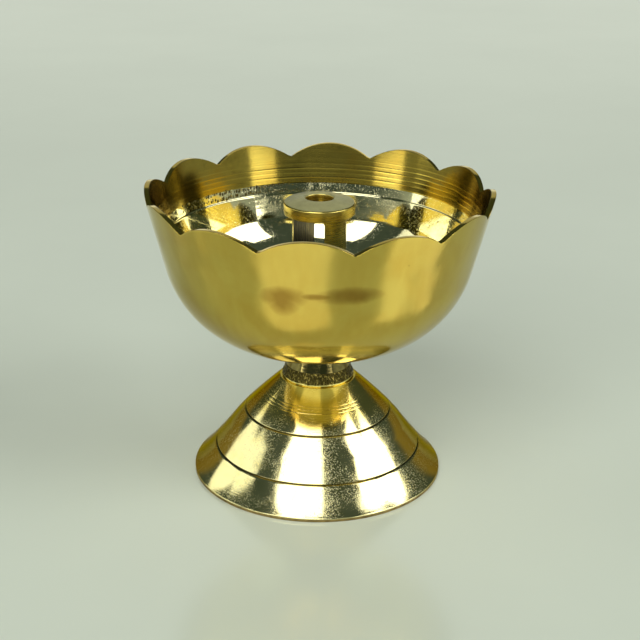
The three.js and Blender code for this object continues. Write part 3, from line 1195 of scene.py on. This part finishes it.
class DIYA_OT_bowl(bpy.types.Operator):
    """Make the lotus bowl, its turned rings and its chatter dots"""

    bl_idname = "diya.bowl"
    bl_label = "Lotus bowl"

    def execute(self, context):
        s = context.scene.diya.bowl
        loop = bowl_profile(s)
        bowl = turned("lotus_bowl", loop, BOWL_SIDES)
        band = bowl.data.attributes.new("band", "FLOAT", "POINT")
        in_band = [float(part == BOWL_BAND) for _, part in loop for _ in range(BOWL_SIDES)]
        band.data.foreach_set("value", in_band)
        values = {
            "Petals": s.petals,
            "Petal turn": s.petal_turn,
            "Petal drop": s.petal_drop,
            "Rim radius": s.rim_radius,
            "Rim height": high("bowl"),
            "Root height": high("bowl") - s.petal_drop - s.petal_root,
            "Wall slope": math.tan(s.flare),
            "Ring pitch": s.ring_pitch,
            "Ring depth": s.ring_depth,
            "Band height": ledge_height(s) + s.plain_wall,
            "Unevenness": s.unevenness,
            "Outside": finish_of(satin_brass, s.tint),
            "Band": finish_of(ringed_brass, s.band_tint),
            "Well": finish_of(polished_well, s.well_tint),
        }
        grow(bowl, lotus_rim_tree(), values)
        placed(bowl, "bowl", "bowl")
        chattered = finish_of(chattered_brass, context.scene.diya.collar.chatter_tint)
        placed(chatter_dots(s, chattered), None, "bowl")
        return {"FINISHED"}


def holder_profile(s):
    """The wick holder before its slot is sawn: flange, stem and drilled head."""
    base, top = low("wick_holder"), high("wick_holder")
    hole = stud_hole()
    head_radius = reach("wick_holder")
    head_edge = top - s.head_rise
    head_underside = head_edge - s.head_side
    flange_top = base + s.flange_height
    slot_floor = base + s.hub_height
    fillet_centre = at(s.stem_radius + s.fillet, flange_top + s.fillet)
    fillet = arc(fillet_centre, s.fillet, -math.pi / 2, -math.pi, FILLET_STEPS)
    sides = [at(hole, base), at(s.flange_radius, base), at(s.flange_radius, flange_top), *fillet]
    sides += [at(s.stem_radius, head_underside), at(head_radius, head_underside)]
    sides += [at(head_radius, head_edge - s.head_bevel)]
    face = [at(head_radius - s.head_bevel, head_edge), at(s.wick_hole + s.wick_chamfer, top)]
    bore = [at(s.wick_hole, top - s.wick_chamfer), at(s.wick_hole, slot_floor + s.drill_cone)]
    bore += [at(hole, slot_floor)]
    return eased(tagged(sides, OUTSIDE) + tagged(face, HOLDER_TOP) + tagged(bore, OUTSIDE), FINE_EASE)


def slot_cutter(s):
    """The bar that saws the slot: square below, round-cornered above."""
    half = s.slot_width / 2
    floor = low("wick_holder") + s.hub_height
    overcut = 0.00001  # into the head's underside, so that no skin is left there
    ceiling = high("wick_holder") - s.head_rise - s.head_side + overcut
    corner = s.slot_corner
    outline = [at(-half, floor), at(half, floor)]
    outline += arc(at(half - corner, ceiling - corner), corner, 0, math.pi / 2, SLOT_CORNER_STEPS)
    outline += arc(at(corner - half, ceiling - corner), corner, math.pi / 2, math.pi, SLOT_CORNER_STEPS)
    bar_length = s.stem_radius * 2.4  # clear of the stem at both ends
    cutter = prism("slot_cutter", outline, bar_length)
    cutter.data.transform(Matrix.Rotation(s.slot_turn - math.pi / 2, 4, "Z"))
    return cutter


class DIYA_OT_holder(bpy.types.Operator):
    """Make the slotted wick holder"""

    bl_idname = "diya.holder"
    bl_label = "Wick holder"

    def execute(self, context):
        s = context.scene.diya.holder
        holder = turned("slotted_wick_holder", holder_profile(s), HOLDER_SIDES)
        # The slot's faces get a near-black colour, painted shade inside the slot
        sawn = finish_of(shaded_sawn_brass, s.slot_shade_tint)
        dressed(holder, finish_of(turned_brass, s.tint), finish_of(faced_brass, s.top_tint), sawn)
        cutter = slot_cutter(s)
        dressed(cutter, sawn)
        saw = holder.modifiers.new("Slot", "BOOLEAN")
        saw.operation = "DIFFERENCE"
        saw.solver = "EXACT"
        saw.material_mode = "TRANSFER"
        saw.object = cutter
        settle(holder)
        bpy.data.objects.remove(cutter)
        placed(holder, "wick_holder", "wick_holder")
        return {"FINISHED"}


def stud_profile(s):
    """Rows close enough to carry the thread."""
    radius = reach("centre_stud")
    base, top = low("centre_stud"), high("centre_stud")
    tip = radius - s.stud_chamfer
    rows = round((top - base) / s.thread_pitch * THREAD_STEPS)
    shank = straight(at(radius, base + s.stud_chamfer), at(radius, top - s.stud_chamfer), rows)
    return [at(tip, base), *shank, at(tip, top)]


def washer_profile(s):
    """A flat ring with its outer edges chamfered."""
    base, top, radius = low("foot_washer"), high("foot_washer"), reach("foot_washer")
    hole, chamfer = s.hole_radius, s.washer_chamfer
    points = [at(hole, base), at(radius - chamfer, base), at(radius, base + chamfer)]
    points += [at(radius, top - chamfer), at(radius - chamfer, top), at(hole, top)]
    return eased(tagged(points, OUTSIDE), FINE_EASE)


def nut_profile(s, corner, flat):
    """A hexagon nut's chamfered blank."""
    base, top = low("foot_nut"), high("foot_nut")
    fall = (corner - flat) / 2
    chamfered = straight(at(flat, base), at(corner, base + fall), NUT_CHAMFER_STEPS)
    chamfered += straight(at(corner, base + fall), at(corner, top - fall), NUT_SIDE_STEPS)[1:]
    chamfered += straight(at(corner, top - fall), at(flat, top), NUT_CHAMFER_STEPS)[1:]
    hole, lead = s.hole_radius, s.nut_lead
    bore = [at(hole + lead, top), at(hole, top - lead), at(hole, base + lead), at(hole + lead, base)]
    return tagged(chamfered + bore, OUTSIDE)


class DIYA_OT_fastening(bpy.types.Operator):
    """Make the threaded stud, its washer and its nut"""

    bl_idname = "diya.fastening"
    bl_label = "Stud, washer and nut"

    def execute(self, context):
        s = context.scene.diya.fastening
        finish = finish_of(turned_brass, context.scene.diya.holder.tint)
        stud = capped_rod("threaded_stud", stud_profile(s), STUD_SIDES)
        values = {
            "Rod radius": reach("centre_stud"),
            "Pitch": s.thread_pitch,
            "Depth": s.thread_depth,
            "Finish": finish,
        }
        grow(stud, thread_tree(), values)
        placed(stud, "centre_stud", "stand")

        washer = turned("seating_washer", washer_profile(s), SMALL_SIDES)
        dressed(washer, finish)
        placed(washer, "foot_washer", "stand")

        flat = reach("foot_nut")
        corner = flat / math.cos(math.pi / 6) - s.nut_corner_ease

        def hexagon(turn):
            """Radius of the hexagon at an angle, with a flat facing +X."""
            off_flat = (turn + math.pi / 6) % (math.pi / 3) - math.pi / 6
            return min(corner, flat / math.cos(off_flat))

        nut = turned("hexagon_nut", nut_profile(s, corner, flat), SMALL_SIDES, hexagon)
        dressed(nut, finish)
        placed(nut, "foot_nut", "stand")
        return {"FINISHED"}


# Stage


DAYLIGHT = (1, 1, 0.97)
GREEN_DAYLIGHT = (1, 1, 0.88)
WARM_LIGHT = (1, 0.97, 0.88)

# Each lamp's name, azimuths and elevations as the diya sees them, radiance and colour. Angles are in
# degrees, and azimuth 0 is the camera's side and 90 the right.
LAMPS = (
    ("front_window", (-49, 8.6), (21.5, 66), 3.2, DAYLIGHT),
    ("right_window", (53, 79), (17, 52), 3.6, DAYLIGHT),
    ("right_window_end", (79, 100), (17, 42), 3.6, DAYLIGHT),
    ("left_window", (-97, -75), (10, 35), 1.3, GREEN_DAYLIGHT),
    ("left_window_end", (-120, -97), (10, 29), 1.3, GREEN_DAYLIGHT),
    ("low_right_panel", (33, 52), (4, 14), 3.1, WARM_LIGHT),
    ("low_left_panel", (-63, -41), (4, 12.5), 3.1, WARM_LIGHT),
    ("backdrop", (157, 203), (0.5, 42), 0.42, GREEN_DAYLIGHT),
)
LAMP_DISTANCE = 1.5  # metres from the axis
FLOOR_RADIUS = 6
FLOOR_SIDES = 96


def window(name, azimuths, elevations, radiance, tint):
    """A tall upright soft lamp that fills the given angles, as the diya sees it."""
    turn = math.radians(sum(azimuths) / 2)
    base, top = (LAMP_DISTANCE * math.tan(math.radians(elevation)) for elevation in elevations)
    lamp = bpy.data.lights.new(name, "AREA")
    lamp.shape = "RECTANGLE"
    lamp.size = 2 * LAMP_DISTANCE * math.tan(math.radians(azimuths[1] - azimuths[0]) / 2)
    lamp.size_y = top - base
    lamp.energy = radiance * math.pi * lamp.size * lamp.size_y
    lamp.color = tint
    thing = bpy.data.objects.new(name, lamp)
    middle = high("bowl") / 2 + (base + top) / 2
    thing.location = (LAMP_DISTANCE * math.sin(turn), -LAMP_DISTANCE * math.cos(turn), middle)
    thing.rotation_euler = (math.pi / 2, 0, turn)
    thing.visible_camera = False
    bpy.context.scene.collection.objects.link(thing)


def background(sky_tint, warm_tint, room_tint):
    """A pale horizon, warm behind the diya to either side, below a dim room."""
    world = bpy.data.worlds.new("Studio")
    world.use_nodes = True
    n = Nodes(world.node_tree)
    x, y, height = n.split(n.node("ShaderNodeTexCoord").outputs["Generated"])
    # Each range is a share of the direction's length
    aside = n.mapped(n.maths("ABSOLUTE", x), 0.34, 0.44)
    behind = n.mapped(y, 0.3, 0.45)
    above = n.mapped(height, 0.18, 0.26)
    horizon = n.mix(n.times(aside, behind), sky_tint, warm_tint)
    n.feed(world.node_tree.nodes["Background"].inputs["Color"], n.mix(above, horizon, room_tint))
    bpy.context.scene.world = world


def photo_camera(s):
    """The camera of the photograph."""
    forward = Vector(
        (math.sin(s.yaw) * math.cos(s.pitch), math.cos(s.yaw) * math.cos(s.pitch), math.sin(s.pitch))
    )
    right = forward.cross(Vector((0, 0, 1))).normalized()
    up = right.cross(forward)
    across = right * math.cos(s.roll) + up * math.sin(s.roll)
    upwards = up * math.cos(s.roll) - right * math.sin(s.roll)
    lens = bpy.data.cameras.new("photo_camera")
    lens.sensor_width = SENSOR_WIDTH
    lens.lens = s.focal_pixels * SENSOR_WIDTH / PHOTO_SIDE
    lens.clip_start = 0.01
    camera = bpy.data.objects.new("photo_camera", lens)
    turn = Matrix((across, upwards, -forward)).transposed().to_4x4()
    camera.matrix_world = Matrix.Translation((0, -s.camera_distance, s.camera_height)) @ turn
    bpy.context.scene.collection.objects.link(camera)
    bpy.context.scene.camera = camera


class DIYA_OT_stage(bpy.types.Operator):
    """Make the camera, the lamps, the floor and the background"""

    bl_idname = "diya.stage"
    bl_label = "Stage"

    def execute(self, context):
        s = context.scene.diya.stage
        context.scene.view_settings.view_transform = "Standard"
        photo_camera(s)
        bpy.ops.mesh.primitive_circle_add(vertices=FLOOR_SIDES, radius=FLOOR_RADIUS, fill_type="NGON")
        floor = context.object
        floor.name = "floor"
        dressed(floor, finish_of(pale_stone, s.floor_tint))
        background(s.sky_tint, s.warm_tint, s.room_tint)
        for lamp in LAMPS:
            window(*lamp)
        return {"FINISHED"}


PIECE_OPERATORS = (
    DIYA_OT_foot,
    DIYA_OT_collar,
    DIYA_OT_bowl,
    DIYA_OT_holder,
    DIYA_OT_fastening,
)


class DIYA_PT_panel(bpy.types.Panel):
    """Lists the diya's pieces and their settings"""

    bl_idname = "DIYA_PT_panel"
    bl_label = "Diya"
    bl_space_type = "VIEW_3D"
    bl_region_type = "UI"
    bl_category = "Diya"

    def draw(self, context):
        settings = context.scene.diya
        groups = ("foot", "collar", "bowl", "holder", "fastening", "stage")
        for group_name, operator in zip(groups, (*PIECE_OPERATORS, DIYA_OT_stage)):
            box = self.layout.box()
            box.operator(operator.bl_idname)
            group = getattr(settings, group_name)
            for name in group.bl_rna.properties.keys():
                if name not in ("rna_type", "name"):
                    box.prop(group, name)


CLASSES = (
    FootSettings,
    CollarSettings,
    BowlSettings,
    HolderSettings,
    FasteningSettings,
    StageSettings,
    DiyaSettings,
    *PIECE_OPERATORS,
    DIYA_OT_stage,
    DIYA_PT_panel,
)


def register():
    for cls in CLASSES:
        bpy.utils.register_class(cls)
    bpy.types.Scene.diya = group(DiyaSettings, "Diya", "Settings of the diya")


def unregister():
    del bpy.types.Scene.diya
    for cls in reversed(CLASSES):
        bpy.utils.unregister_class(cls)


def main():
    register()
    bpy.ops.diya.stage()
    bpy.ops.diya.foot()
    bpy.ops.diya.collar()
    bpy.ops.diya.bowl()
    bpy.ops.diya.holder()
    bpy.ops.diya.fastening()


if __name__ == "__main__":
    main()
